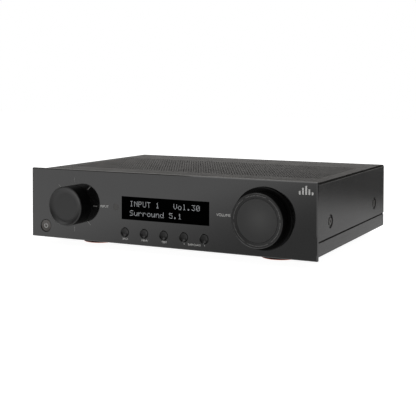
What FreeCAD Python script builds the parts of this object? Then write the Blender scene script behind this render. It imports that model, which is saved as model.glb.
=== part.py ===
"""An audio-video receiver: a low, wide metal case on four round feet, with a thick front panel, two large
knobs, six push buttons and a display window in front, a perforated cover on top and sockets at the back.

Frame: millimetres, +Z up, the front looks along -Y, origin on the floor under the middle of the whole box.
"""
import FreeCAD, Part
import os
import re
import Sketcher

Vector = FreeCAD.Vector

# Every driving dimension in millimetres. Heights of things on the front and sides count from the lower edge
# of the front panel, and depths count backwards from its front face.
DRIVING_SIZES = [
    ("panel_width", 432), ("panel_height", 98), ("panel_thickness", 6), ("panel_bevel", 1),
    ("floor_gap", 11), ("clearance", 0.1),
    ("case_width", 427.3), ("case_height", 92.2), ("case_depth", 302.4), ("case_lift", 3.4),
    ("cover_thickness", 1), ("cover_bend", 3), ("tray_thickness", 1.2), ("tray_side", 17), ("side_gap", 2.2),
    ("flange_height", 48), ("slot_width", 4), ("slot_length", 34), ("slot_pitch", 12),
    ("slot_front", 120), ("slot_rear", 180),
    ("knob_reach", 23.2), ("rear_reach", 18.8),
    ("vent_width", 390), ("vent_depth", 170), ("vent_start", 66), ("vent_pitch", 8.15), ("vent_radius", 3),
    ("vent_rows", 21), ("vent_columns", 47),
    ("window_width", 133.5), ("window_height", 31.5), ("window_x", 1.55), ("window_up", 49.75),
    ("window_thickness", 2.5), ("window_recess", 0.3), ("glass_thickness", 4), ("glass_gap", 0.4),
    ("button_pitch", 30.2), ("button_up", 16.4), ("button_radius", 5.7), ("button_hole", 6.05),
    ("button_bevel", 0.8), ("button_recess", 0.6), ("button_travel", 1.2), ("button_flange", 6.6),
    ("button_edge", 0.4), ("button_dish", 1.1), ("stem_radius", 2),
    ("switch_width", 6), ("switch_height", 3.2), ("plunger_radius", 1.75), ("plunger_height", 1),
    ("power_x", -192), ("power_up", 16.2), ("power_radius", 8.3), ("power_hole", 8.7), ("power_bevel", 0.6),
    ("power_flange", 9.6),
    ("remote_x", -74.5), ("remote_up", 49.8), ("remote_radius", 4.3),
    ("input_x", -142.6), ("input_up", 49.1), ("input_radius", 27.3), ("input_bevel", 0.8),
    ("input_dish", 1.7), ("input_flat", 18), ("input_curve", 17.2),
    ("volume_x", 144.7), ("volume_up", 48.9), ("volume_radius", 34.9), ("volume_reach", 22.4),
    ("volume_bevel", 1), ("band_slope", 0.9),
    ("cap_radius", 27.6), ("cap_thickness", 1.8), ("cap_dish", 0.6), ("bezel_radius", 40.3),
    ("bezel_height", 4.4),
    ("bezel_bore", 9), ("bezel_bevel", 1.2),
    ("knob_wall", 3), ("knob_roof", 3.4), ("knob_gap", 0.6), ("shell_roof", 1.4), ("shaft_radius", 3),
    ("shaft_clearance", 0.05),
    ("shaft_stop", 5), ("shaft_end", 12), ("hub_radius", 7), ("hub_gap", 6),
    ("bush_radius", 4.5), ("bush_reach", 2.6), ("encoder_width", 13), ("nut_width", 12), ("nut_height", 2),
    ("plate_thickness", 1.2), ("board_thickness", 1.6), ("switch_depth", 15.6),
    ("side_head_height", 1.3), ("side_screw_length", 9), ("rear_screw_head", 2.9), ("rear_head_height", 1.5),
    ("rear_screw_shank", 1.5), ("rear_screw_length", 7), ("socket_width", 3.2), ("socket_depth", 0.9),
    ("rear_slot_x", -158), ("rear_slot_up", 82), ("rear_slot_pitch", 9), ("rear_slot_height", 12),
    ("screw_front", 57.8), ("screw_rear", 256.6), ("screw_up", 42.5), ("recess_radius", 9),
    ("recess_depth", 1.4), ("screw_head", 5), ("screw_shank", 2), ("screw_clearance", 0.2),
    ("foot_x", 141), ("foot_front", 65.5), ("foot_rear", 250), ("foot_radius", 24.9), ("foot_ring", 0.9),
    ("foot_lift", 0.3), ("pad_thickness", 0.6), ("pad_radius", 22.5), ("pad_hole", 8), ("foot_well", 5),
    ("foot_floor", 6),
    ("post_x", -50), ("post_pitch", 24), ("post_low", 30), ("post_rise", 24), ("post_radius", 6),
    ("post_collar", 7), ("collar_height", 4), ("stud_radius", 3), ("stud_bore", 2), ("stud_depth", 13),
    ("stud_root", 12), ("stud_drop", 2), ("post_block_face", 2), ("post_block_depth", 8), ("grip_start", 9),
    ("phono_x", 22), ("phono_pitch", 18), ("phono_low", 28), ("phono_rise", 18), ("phono_radius", 4.15),
    ("phono_neck", 3.9), ("phono_core", 3.4), ("phono_hole", 1.6), ("phono_root", 6), ("phono_length", 8.6),
    ("phono_tip", 0.4), ("phono_block_face", 1.6), ("phono_block_depth", 9), ("phono_block_step", 2.2),
    ("video_x", 10), ("video_pitch", 24), ("video_up", 78), ("video_width", 15.2), ("video_height", 5.8),
    ("video_wall", 0.6), ("video_depth", 11), ("video_proud", 0.8), ("tongue_width", 11),
    ("tongue_height", 1.2),
    ("tongue_reach", 8),
    ("network_x", 152), ("network_up", 34), ("network_width", 16), ("network_height", 13.5),
    ("network_depth", 15), ("network_mouth", 11.8), ("network_throat", 8.4), ("network_back", 3),
    ("antenna_x", 184), ("antenna_up", 42), ("antenna_radius", 4.7), ("antenna_bore", 1.1),
    ("antenna_flange", 6.5), ("antenna_reach", 11), ("antenna_root", 8),
    ("inlet_x", -184), ("inlet_up", 32), ("inlet_width", 27.4), ("inlet_height", 20.4), ("inlet_depth", 20),
    ("inlet_wall", 1.5), ("well_depth", 15.5), ("flange_width", 32), ("flange_rise", 26),
    ("flange_depth", 2.5),
    ("pin_width", 2), ("pin_height", 4), ("pin_length", 11), ("pin_spread", 7), ("pin_rise", 3),
    ("pin_drop", 1),
    ("rocker_up", 70), ("rocker_tilt", 10), ("rocker_width", 10), ("rocker_pivot", 0.6),
    ("switch_frame_width", 15.2), ("switch_frame_height", 21.6), ("switch_frame_depth", 1.8),
    ("switch_box_width", 13), ("switch_box_height", 19.2), ("switch_box_depth", 14),
    ("switch_well_width", 10.8), ("switch_well_height", 17.2), ("switch_well_depth", 9),
    ("control_board_left", -205), ("control_board_width", 400), ("control_board_up", 8),
    ("control_board_height", 74),
    ("amplifier_board_left", -30), ("amplifier_board_front", 60), ("amplifier_board_width", 225),
    ("amplifier_board_depth", 195), ("amplifier_lift", 8),
    ("main_board_left", -5), ("main_board_width", 200), ("main_board_depth", 90), ("main_board_drop", 38),
    ("main_board_gap", 4), ("pillar_radius", 3), ("pillar_inset", 6),
    ("ribbon_x", 40), ("ribbon_width", 30), ("ribbon_thickness", 0.6),
    ("sink_x", 80), ("sink_front", 130), ("sink_width", 150), ("sink_height", 42), ("sink_base", 6),
    ("fin_thickness", 2), ("fin_reach", 20.2), ("chip_width", 15.6), ("chip_height", 20), ("chip_depth", 5),
    ("chip_pitch", 24), ("chip_up", 10), ("first_chip", 20),
    ("winding_x", -115), ("winding_front", 150), ("winding_inner", 20), ("winding_outer", 58),
    ("winding_low", 2), ("winding_high", 50), ("winding_round", 6), ("clamp_thickness", 2),
    ("clamp_base", 50),
    ("clamp_top", 40), ("clamp_core", 19), ("bolt_radius", 4), ("bolt_height", 4),
    ("can_radius", 17.5), ("can_height", 45), ("can_pitch", 42), ("can_front", 88),
]
BUTTON_NAMES = ["back_button", "menu_button", "dim_button", "previous_button", "next_button"]
CHANNELS = ["front_right", "front_left", "centre", "rear_right", "rear_left"]
CAP_GRIPS = 12
REAR_SCREW_COLUMNS = ("-200", "-20", "168", "200")
REAR_SCREW_HEIGHTS = ("12", "84")
PHONO_COLUMNS = 5
VIDEO_SOCKETS = 6
TRAY_SLOTS = 9
REAR_SLOTS = 15
SINK_FINS = 19
TRANSISTORS = 5
CAPACITORS = 4
PAST = 1  # how far a cutting tool runs past the face that it cuts

doc = FreeCAD.newDocument("receiver")
sheet = doc.addObject("Spreadsheet::Sheet", "sizes")
for row, (alias, number) in enumerate(DRIVING_SIZES, start=1):
    sheet.set(f"A{row}", alias.replace("_", " "))
    sheet.set(f"B{row}", str(number))
    sheet.setAlias(f"B{row}", alias)
doc.recompute()
ALIASES = {alias for alias, number in DRIVING_SIZES}

# Planes that many pieces share, as formulas of the sheet's cells.
FRONT = "((knob_reach - panel_thickness - case_depth - rear_reach) / 2)"
BACK = f"({FRONT} + panel_thickness + case_depth)"
CASE_FLOOR = "(floor_gap + case_lift)"
CASE_TOP = "(floor_gap + case_lift + case_height)"
TRAY_FLOOR = f"({CASE_FLOOR} + tray_thickness)"
BOARD_FACE = f"({FRONT} + switch_depth)"

# The middle and the size of the two moulded socket blocks on the back.
TERMINAL_MIDDLE = ("post_x - 2 * post_pitch", "post_low + post_rise / 2")
TERMINAL_FIELD = (f"{len(CHANNELS)} * post_pitch", "2 * post_rise")
PHONO_MIDDLE = ("phono_x + 2 * phono_pitch", "phono_low + phono_rise / 2")
PHONO_FIELD = (f"{PHONO_COLUMNS} * phono_pitch", "2 * phono_rise")

subparts = []


def formula(text):
    """The text with each alias written as a cell of the sheet."""
    return re.sub(r"[a-z_]+", lambda word: "sizes." + word[0] if word[0] in ALIASES else word[0], str(text))


def mm(text):
    """The formula's value."""
    return float(sheet.evalExpression(formula(text)))


def place(item, at, axis=None, angle=0):
    """Binds the item's position to the sheet, after an optional turn about an axis."""
    if axis:
        item.Placement = FreeCAD.Placement(Vector(), FreeCAD.Rotation(Vector(*axis), angle))
    for letter, text in zip("xyz", at):
        item.setExpression(f"Placement.Base.{letter}", formula(text))
    return item


def node(item, name):
    """Marks an object as a sub-part, which is written to a file of that name."""
    item.Label = name
    subparts.append(item)
    return item


def block(name, low, size):
    """A Part box from its low corner and its size."""
    item = doc.addObject("Part::Box", name)
    for side, text in zip(("Length", "Width", "Height"), size):
        item.setExpression(side, formula(text))
    return place(item, low)


ALONG = {"x": ((0, 1, 0), 90), "y": ((1, 0, 0), -90), "z": (None, 0)}


def rod(name, centre, radius, length, along="z"):
    """A Part cylinder that starts at the centre of its first face."""
    item = doc.addObject("Part::Cylinder", name)
    item.setExpression("Radius", formula(radius))
    item.setExpression("Height", formula(length))
    axis, angle = ALONG[along]
    return place(item, centre, axis, angle)


def hexagon(name, centre, flat_width, length, along="z"):
    """A Part prism with six sides."""
    item = doc.addObject("Part::Prism", name)
    item.Polygon = 6
    item.setExpression("Circumradius", formula(f"({flat_width}) / sqrt(3)"))
    item.setExpression("Height", formula(length))
    axis, angle = ALONG[along]
    return place(item, centre, axis, angle)


def cut(name, base, tool):
    item = doc.addObject("Part::Cut", name)
    item.Base = base
    item.Tool = tool
    return item


def fuse(name, pieces):
    item = doc.addObject("Part::MultiFuse", name)
    item.Shapes = pieces
    return item


def group(name, pieces):
    """Separate solids in one sub-part."""
    item = doc.addObject("Part::Compound", name)
    item.Links = pieces
    return item


def copies(name, original, places, turns=None):
    """A sub-part that holds the same piece at several places, each with its own turn if turns are given."""
    links = []
    for number, at in enumerate(places):
        link = doc.addObject("App::Link", f"{name}_{number}")
        link.LinkedObject = original
        link.Placement = FreeCAD.Placement()
        place(link, at, *(turns[number] if turns else ()))
        links.append(link)
    return group(name, links)


def body(name):
    return doc.addObject("PartDesign::Body", name)


def sketch(owner, plane):
    """An empty sketch on one of the body's own origin planes."""
    item = owner.newObject("Sketcher::SketchObject", f"{owner.Name}_sketch")
    origin_plane = [feature for feature in owner.Origin.OriginFeatures if feature.Role == plane]
    item.AttachmentSupport = (origin_plane[0], "")
    item.MapMode = "FlatFace"
    return item


def hold(drawing, element, vertex, x, y):
    """Ties one point of a drawing to the origin, at the given formulas."""
    for kind, axis, text in (("DistanceX", -2, x), ("DistanceY", -1, y)):
        if abs(mm(text)) < 1e-9:
            drawing.addConstraint(Sketcher.Constraint("PointOnObject", element, vertex, axis))
        else:
            number = drawing.addConstraint(Sketcher.Constraint(kind, -1, 1, element, vertex, mm(text)))
            drawing.setExpression(f"Constraints[{number}]", formula(text))


def polygon(drawing, points):
    """A closed outline through points given as pairs of formulas."""
    places = [Vector(mm(x), mm(y), 0) for x, y in points]
    first = drawing.GeometryCount
    for start, end in zip(places, places[1:] + places[:1]):
        drawing.addGeometry(Part.LineSegment(start, end))
    for number in range(len(points)):
        following = (number + 1) % len(points)
        drawing.addConstraint(Sketcher.Constraint("Coincident", first + number, 2, first + following, 1))
    for number, (x, y) in enumerate(points):
        hold(drawing, first + number, 1, x, y)
    return drawing


def rectangle(drawing, x, y, width, height):
    """A rectangle around its centre."""
    left, right = f"{x} - ({width}) / 2", f"{x} + ({width}) / 2"
    low, high = f"{y} - ({height}) / 2", f"{y} + ({height}) / 2"
    return polygon(drawing, [(left, low), (right, low), (right, high), (left, high)])


def circle(drawing, x, y, radius):
    number = drawing.addGeometry(Part.Circle(Vector(mm(x), mm(y), 0), Vector(0, 0, 1), mm(radius)))
    hold(drawing, number, 3, x, y)
    size = drawing.addConstraint(Sketcher.Constraint("Radius", number, mm(radius)))
    drawing.setExpression(f"Constraints[{size}]", formula(radius))
    return drawing


def pad(owner, drawing, length, reverse=False):
    item = owner.newObject("PartDesign::Pad", f"{owner.Name}_pad")
    item.Profile = drawing
    item.setExpression("Length", formula(length))
    item.Reversed = reverse
    doc.recompute()
    return item


def pocket(owner, drawing, depth=None, reverse=False):
    """Cuts a drawing to a depth, or right through both ways, and checks that something was cut."""
    before = owner.Shape.Volume
    item = owner.newObject("PartDesign::Pocket", f"{owner.Name}_pocket")
    item.Profile = drawing
    if depth is None:
        item.Type = "ThroughAll"
        item.Midplane = True
    else:
        item.setExpression("Length", formula(depth))
        item.Reversed = reverse
    doc.recompute()
    if owner.Shape.Volume > before - 1e-6:
        raise ValueError(f"the pocket {item.Name} cuts nothing")
    return item


def round_edges(owner, kind, size, wanted):
    """A Fillet or Chamfer on every edge of the body that the test picks."""
    names = [f"Edge{n}" for n, edge in enumerate(owner.Shape.Edges, start=1) if wanted(edge)]
    base = owner.Tip
    item = owner.newObject(f"PartDesign::{kind}", f"{owner.Name}_{kind.lower()}")
    item.Base = (base, names)
    item.setExpression("Radius" if kind == "Fillet" else "Size", formula(size))
    doc.recompute()
    return item


def repeat(owner, feature, span, count, axis="H_Axis"):
    """A row of copies of the last feature, along an axis of its sketch."""
    pattern = owner.newObject("PartDesign::LinearPattern", f"{owner.Name}_row")
    pattern.Originals = [feature]
    pattern.Direction = (feature.Profile[0], [axis])
    pattern.setExpression("Length", formula(span))
    pattern.Occurrences = count
    owner.Tip = pattern
    doc.recompute()
    return pattern


def turned(name, profile, plane="XY_Plane"):
    """A turned piece: radius and length pairs revolved about the drawing's upright axis."""
    owner = body(name)
    drawing = polygon(sketch(owner, plane), profile)
    item = owner.newObject("PartDesign::Revolution", f"{name}_revolution")
    item.Profile = drawing
    item.ReferenceAxis = (drawing, ["V_Axis"])
    doc.recompute()
    return owner


def dished(name, blank, face, rim, depth):
    """Hollows a turned piece's front face with a shallow spherical dish."""
    ball = doc.addObject("Part::Sphere", f"{name}_ball")
    radius = f"((({rim})^2 + ({depth})^2) / (2 * {depth}))"
    ball.setExpression("Radius", formula(radius))
    place(ball, ("0", f"{face} + {depth} - {radius}", "0"))
    return cut(f"{name}_dished", blank, ball)


def bowled(name, blank, face, flat, curve, depth):
    """Hollows a turned piece's front face: flat in the middle, then curving up to the rim."""
    ring = doc.addObject("Part::Torus", f"{name}_ring")
    ring.setExpression("Radius1", formula(flat))
    ring.setExpression("Radius2", formula(curve))
    middle = ("0", f"{face} + {depth} - {curve}", "0")
    place(ring, middle, (1, 0, 0), 90)
    core = rod(f"{name}_core", middle, flat, curve, along="y")
    return cut(f"{name}_bowled", blank, fuse(f"{name}_tool", [ring, core]))


def is_circle_at(edge, letter, level, radius=None):
    """Whether an edge is a whole circle whose centre lies on the given level of an axis."""
    if not isinstance(edge.Curve, Part.Circle) or len(edge.Vertexes) > 1:
        return False
    right_level = abs(getattr(edge.Curve.Center, letter) - level) < 1e-4
    return right_level and (radius is None or abs(edge.Curve.Radius - radius) < 1e-4)


# ---------------------------------------------------------------- front panel
def button_columns():
    """The five buttons' places across the panel, from the left."""
    middle = (len(BUTTON_NAMES) - 1) / 2
    return [f"({number - middle} * button_pitch)" for number in range(len(BUTTON_NAMES))]


def front_panel():
    """The thick front panel. Its local Y is the depth behind its face, and its local Z the height on it."""
    panel = body("front_panel")
    outline = rectangle(sketch(panel, "XZ_Plane"), "0", "panel_height / 2", "panel_width", "panel_height")
    pad(panel, outline, "panel_thickness", reverse=True)
    corner = mm("panel_width / 2 - 1")

    def is_front_rim(edge):
        box = edge.BoundBox
        return box.YMax < 1e-4 and (abs(box.Center.x) > corner or abs(box.ZLength) < 1e-4)

    round_edges(panel, "Chamfer", "panel_bevel", is_front_rim)
    holes = sketch(panel, "XZ_Plane")
    rectangle(holes, "window_x", "window_up", "window_width", "window_height")
    for x in button_columns():
        circle(holes, x, "button_up", "button_hole")
    circle(holes, "power_x", "power_up", "power_hole")
    circle(holes, "remote_x", "remote_up", "remote_radius")
    circle(holes, "input_x", "input_up", "bush_radius + 0.1")
    circle(holes, "volume_x", "volume_up", "bush_radius + 0.1")
    pocket(panel, holes)
    for hole, bevel in (("button_hole", "button_bevel"), ("power_hole", "power_bevel")):
        radius = mm(hole)
        round_edges(panel, "Chamfer", bevel, lambda edge: is_circle_at(edge, "y", 0, radius))
    return node(place(panel, ("0", FRONT, "floor_gap")), "front_panel")


def front_plate():
    """The steel plate behind the panel, with larger openings than the panel's."""
    plate = body("front_plate")
    width = "(case_width - 2 * (cover_thickness + recess_depth + tray_thickness) - 0.3)"
    low = "(case_lift + tray_thickness + 0.1)"
    high = "(case_lift + case_height - cover_thickness - 0.2)"
    outline = sketch(plate, "XZ_Plane")
    rectangle(outline, "0", f"({low} + {high}) / 2", width, f"({high} - {low})")
    pad(plate, outline, "plate_thickness", reverse=True)
    holes = sketch(plate, "XZ_Plane")
    rectangle(holes, "window_x", "window_up", "window_width + 2", "window_height + 6")
    for x in button_columns():
        circle(holes, x, "button_up", "button_flange + 0.8")
    circle(holes, "power_x", "power_up", "power_flange + 0.8")
    circle(holes, "remote_x", "remote_up", "remote_radius + 1")
    circle(holes, "input_x", "input_up", "bush_radius + 0.1")
    circle(holes, "volume_x", "volume_up", "bush_radius + 0.1")
    pocket(plate, holes)
    return node(place(plate, ("0", f"{FRONT} + panel_thickness", "floor_gap")), "front_plate")


def display():
    """The dark window, flush in the panel, and the display module behind it."""
    left = "(window_x - window_width / 2 + clearance)"
    low = "(floor_gap + window_up - window_height / 2 + clearance)"
    wide = "(window_width - 2 * clearance)"
    high = "(window_height - 2 * clearance)"
    window = block("display_window", (left, f"{FRONT} + window_recess", low),
                   (wide, "window_thickness", high))
    node(window, "display_window")
    inset = "3"
    lip = "2"
    glass_depth = "(window_recess + window_thickness + glass_gap)"
    carrier_depth = f"({glass_depth} + glass_thickness)"
    glass = block("display_glass", (f"{left} + {inset}", f"{FRONT} + {glass_depth}", f"{low} + {inset}"),
                  (f"{wide} - 2 * {inset}", "glass_thickness", f"{high} - 2 * {inset}"))
    carrier = block("display_carrier", (f"{left} - {lip}", f"{FRONT} + {carrier_depth}", f"{low} - {lip}"),
                    (f"{wide} + 2 * {lip}", f"switch_depth - {carrier_depth}", f"{high} + 2 * {lip}"))
    return node(fuse("display_module", [glass, carrier]), "display_module")


def button(name, x, up, radius, flange):
    """A button cap with a dished face, a flange that keeps it behind the panel, and a stem."""
    behind = "(panel_thickness + 0.3)"
    flange_end = f"({behind} + 1)"
    stem_end = "(switch_depth - switch_height - plunger_height - button_travel - 0.3)"
    profile = [
        ("0", "button_recess"), (f"{radius} - button_edge", "button_recess"),
        (radius, "button_recess + button_edge"), (radius, behind), (flange, behind), (flange, flange_end),
        ("stem_radius", flange_end), ("stem_radius", stem_end), ("0", stem_end),
    ]
    cap = dished(name, turned(f"{name}_blank", profile), "button_recess", f"{radius} - button_edge",
                 "button_dish")
    return node(place(cap, (x, FRONT, f"floor_gap + {up}")), name)


def buttons():
    """The push buttons and the switches on the control board behind them."""
    for name, x in zip(BUTTON_NAMES, button_columns()):
        button(name, x, "button_up", "button_radius", "button_flange")
    button("power_button", "power_x", "power_up", "power_radius", "power_flange")
    places = [(x, BOARD_FACE, "floor_gap + button_up") for x in button_columns()]
    places.append(("power_x", BOARD_FACE, "floor_gap + power_up"))
    case = block("switch_case", ("-switch_width / 2", "-switch_height", "-switch_width / 2"),
                 ("switch_width", "switch_height", "switch_width"))
    plunger = rod("switch_plunger", ("0", "-switch_height - plunger_height", "0"), "plunger_radius",
                  "plunger_height", along="y")
    return node(copies("button_switches", fuse("switch", [case, plunger]), places), "button_switches")


def remote_window():
    """The small round lens in front of the remote control's receiver."""
    profile = [("0", "0.1"), ("remote_radius - 0.15", "0.1"), ("remote_radius - 0.05", "0.2"),
               ("remote_radius - 0.05", "panel_thickness"), ("0", "panel_thickness")]
    lens = place(turned("remote_window", profile), ("remote_x", FRONT, "floor_gap + remote_up"))
    return node(lens, "remote_window")


def knob_profile(radius, face, base, bevel):
    """A hollow knob: from the middle of its face out over the rim, back inside and round its hub."""
    inside = f"({radius} - knob_wall)"
    roof = f"({face} + knob_roof)"
    stop = f"({face} + shaft_stop)"
    return [
        ("0", face), (f"{radius} - {bevel}", face), (radius, f"{face} + {bevel}"), (radius, base),
        (inside, base),
        (inside, roof), ("hub_radius", roof), ("hub_radius", "-hub_gap"), ("shaft_radius", "-hub_gap"),
        ("shaft_radius", stop), ("0", stop),
    ]


def input_knob(at):
    """The input selector's knob, its face a bowl that is flat in the middle."""
    face = "(-knob_reach)"
    blank = turned("input_knob_blank", knob_profile("input_radius", face, "(-knob_gap)", "input_bevel"))
    bowl = bowled("input_knob", blank, face, "input_flat", "input_curve", "input_dish")
    return node(place(bowl, at), "input_knob")


def volume_knob(at):
    """The volume knob: a band that slopes in to a sunk, dished disc, and the black bezel behind it."""
    face = "(-volume_reach)"
    base = "(-bezel_height - knob_gap)"
    disc_face = f"({face} + band_slope + 0.1)"
    disc_back = f"({disc_face} + cap_thickness)"
    bevel = "volume_bevel"
    band = [
        ("0", disc_back), ("cap_radius", disc_back), ("cap_radius", f"{face} + band_slope + 0.4"),
        ("cap_radius + 0.4", f"{face} + band_slope"), (f"volume_radius - 2 * {bevel}", face),
        (f"volume_radius - {bevel}", face), ("volume_radius", f"{face} + {bevel}"),
    ]
    rest = knob_profile("volume_radius", face, base, bevel)[3:]
    shell = [(x, y) if y != f"({face} + knob_roof)" else (x, f"{disc_back} + shell_roof") for x, y in rest]
    node(place(turned("volume_knob", band + shell), at), "volume_knob")
    rim = "(cap_radius - 0.05)"
    disc = [("0", disc_face), (f"{rim} - 0.2", disc_face), (rim, f"{disc_face} + 0.2"), (rim, disc_back),
            ("0", disc_back)]
    cap = dished("volume_knob_cap", turned("cap_blank", disc), disc_face, f"{rim} - 0.2", "cap_dish")
    node(place(cap, at), "volume_knob_cap")
    bezel = [
        ("bezel_bore", "0"), ("bezel_bore", "-bezel_height"), ("bezel_radius - bezel_bevel", "-bezel_height"),
        ("bezel_radius", "-bezel_height + bezel_bevel"), ("bezel_radius", "0"),
    ]
    return node(place(turned("volume_bezel", bezel), at), "volume_bezel")


def knobs():
    """Both knobs with their shafts, encoders and nuts. Depths count back from the panel's face."""
    places = {"input": ("input_x", FRONT, "floor_gap + input_up"),
              "volume": ("volume_x", FRONT, "floor_gap + volume_up")}
    reaches = {"input": "knob_reach", "volume": "volume_reach"}
    input_knob(places["input"])
    volume_knob(places["volume"])
    for knob, (x, y, z) in places.items():
        start = f"(shaft_stop - {reaches[knob]})"
        shaft = rod(f"{knob}_shaft", (x, f"{y} + {start}", z), "shaft_radius", f"shaft_end - {start}",
                    along="y")
        node(shaft, f"{knob}_shaft")
    middles = list(places.values())
    plate_back = "(panel_thickness + plate_thickness)"
    case = block("encoder_case", ("-encoder_width / 2", plate_back, "-encoder_width / 2"),
                 ("encoder_width", f"switch_depth - {plate_back}", "encoder_width"))
    bush = rod("encoder_bush", ("0", "-bush_reach", "0"), "bush_radius", f"{plate_back} + bush_reach",
               along="y")
    bore = rod("encoder_bore", ("0", f"-bush_reach - {PAST}", "0"), "shaft_radius + shaft_clearance",
               f"bush_reach + {PAST} + shaft_end + 0.5", along="y")
    encoder = cut("encoder", fuse("encoder_solid", [case, bush]), bore)
    node(copies("encoder_bodies", encoder, middles), "encoder_bodies")
    nut = cut("encoder_nut", hexagon("nut_blank", ("0", "-nut_height", "0"), "nut_width", "nut_height",
                                     along="y"),
              rod("nut_hole", ("0", f"-nut_height - {PAST}", "0"), "bush_radius", f"nut_height + 2 * {PAST}",
                  along="y"))
    return node(copies("encoder_nuts", nut, middles), "encoder_nuts")


def control_board():
    """The circuit board that carries the switches, the encoders and the display."""
    board = block("control_board", ("control_board_left", BOARD_FACE, "floor_gap + control_board_up"),
                  ("control_board_width", "board_thickness", "control_board_height"))
    return node(board, "control_board")


# ---------------------------------------------------------------- case
def top_cover():
    """The folded steel cover: top and two sides, a window for the vent field and four pressed screw cups."""
    cover = body("cover_sheet")
    half = "(case_width / 2)"
    low = "(case_lift + tray_side + side_gap)"
    high = "(case_lift + case_height)"
    inner = f"({half} - cover_thickness)"
    profile = [
        (f"-{half}", low), (f"-{half}", high), (half, high), (half, low), (inner, low),
        (inner, f"{high} - cover_thickness"), (f"-{inner}", f"{high} - cover_thickness"), (f"-{inner}", low),
    ]
    pad(cover, polygon(sketch(cover, "XZ_Plane"), profile), "case_depth", reverse=True)
    corner = mm(half)
    inside = mm(inner)
    top = mm(high)

    def is_long_edge(edge, x, z):
        middle = edge.BoundBox.Center
        return edge.BoundBox.YLength > 100 and abs(abs(middle.x) - x) < 1e-3 and abs(middle.z - z) < 1e-3

    round_edges(cover, "Fillet", "cover_bend", lambda edge: is_long_edge(edge, corner, top))
    ceiling = mm(f"{high} - cover_thickness")
    round_edges(cover, "Fillet", "cover_bend - cover_thickness",
                lambda edge: is_long_edge(edge, inside, ceiling))
    field = rectangle(sketch(cover, "XY_Plane"), "0", "vent_start - panel_thickness + vent_depth / 2",
                      "vent_width", "vent_depth")
    pocket(cover, field)
    cups = []
    wells = []
    for number, (side, depth) in enumerate((side, depth) for side in (-1, 1) for depth in ("front", "rear")):
        y = f"(screw_{depth} - panel_thickness)"
        floor = f"({half} - recess_depth)"
        cup_start = f"({floor} - cover_thickness)" if side > 0 else f"(-{half} + cover_thickness)"
        well_start = floor if side > 0 else f"(-{half} - {PAST})"
        hole_start = f"({floor} - 2 * recess_depth)" if side > 0 else f"(-{half} - {PAST})"
        cups.append(rod(f"cup_{number}", (cup_start, y, "screw_up"), "recess_radius + cover_thickness",
                        "recess_depth", along="x"))
        wells.append(rod(f"well_{number}", (well_start, y, "screw_up"), "recess_radius",
                         f"recess_depth + {PAST}", along="x"))
        wells.append(rod(f"cup_hole_{number}", (hole_start, y, "screw_up"), "screw_shank + screw_clearance",
                         f"3 * recess_depth + {PAST}", along="x"))
    shell = fuse("cover_with_cups", [cover] + cups)
    cover_shape = cut("top_cover_shape", shell, fuse("cover_wells", wells))
    return node(place(cover_shape, ("0", f"{FRONT} + panel_thickness", "floor_gap")), "top_cover")


def vent_grille():
    """The perforated field of the cover: rows of round holes, each row shifted by half a pitch."""
    half_width = mm("vent_width / 2")
    start = mm("vent_start")
    end = mm("vent_start + vent_depth")
    pitch = mm("vent_pitch")
    radius = mm("vent_radius")
    rows = int(mm("vent_rows"))
    columns = int(mm("vent_columns"))
    corners = [Vector(-half_width, start), Vector(half_width, start), Vector(half_width, end),
               Vector(-half_width, end)]
    wires = [Part.makePolygon(corners + corners[:1])]
    first_row = (start + end - (rows - 1) * pitch) / 2
    for row in range(rows):
        in_row = columns + row % 2
        for column in range(in_row):
            centre = Vector((column - (in_row - 1) / 2) * pitch, first_row + row * pitch)
            wires.append(Part.Wire(Part.makeCircle(radius, centre, Vector(0, 0, -1))))
    grille = doc.addObject("Part::Feature", "vent_grille")
    grille.Shape = Part.Face(wires).extrude(Vector(0, 0, mm("cover_thickness")))
    return node(place(grille, ("0", FRONT, f"{CASE_TOP} - cover_thickness")), "vent_grille")


def chassis_tray():
    """The lower half of the case: a folded tray whose sides step inwards to carry the cover."""
    tray = body("chassis_tray")
    half = "(case_width / 2)"
    wall = "tray_thickness"
    flange = f"({half} - cover_thickness - recess_depth)"
    low = "case_lift"
    step = "(case_lift + tray_side)"
    top = "(case_lift + flange_height)"
    right = [
        (half, low), (half, step), (flange, step), (flange, top), (f"{flange} - {wall}", top),
        (f"{flange} - {wall}", f"{step} - {wall}"), (f"{half} - {wall}", f"{step} - {wall}"),
        (f"{half} - {wall}", f"{low} + {wall}"),
    ]
    left = [(f"-({x})", z) for x, z in reversed(right)]
    pad(tray, polygon(sketch(tray, "XZ_Plane"), right + left), "case_depth - plate_thickness", reverse=True)
    holes = sketch(tray, "XY_Plane")
    for x in ("-foot_x", "foot_x"):
        for y in ("foot_front", "foot_rear"):
            circle(holes, x, f"{y} - panel_thickness", "screw_shank + screw_clearance")
    pocket(tray, holes)
    for y in ("slot_front", "slot_rear"):
        slot = rectangle(sketch(tray, "XY_Plane"), f"-{TRAY_SLOTS - 1} / 2 * slot_pitch", y, "slot_width",
                         "slot_length")
        repeat(tray, pocket(tray, slot), f"{TRAY_SLOTS - 1} * slot_pitch", TRAY_SLOTS)
    drill = sketch(tray, "YZ_Plane")
    for y in ("screw_front", "screw_rear"):
        circle(drill, f"{y} - panel_thickness", "screw_up", "screw_shank + 0.1")
    pocket(tray, drill)
    return node(place(tray, ("0", f"{FRONT} + panel_thickness", "floor_gap")), "chassis_tray")


def screw_positions():
    """The cover's side screws: their places, and the turns that point the heads outwards."""
    places = []
    turns = []
    for side in (-1, 1):
        for depth in ("screw_front", "screw_rear"):
            places.append((f"{side} * (case_width / 2 - recess_depth)", f"{FRONT} + {depth}",
                           "floor_gap + screw_up"))
            turns.append(((0, 0, 1), -90 * side))
    return places, turns


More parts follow.
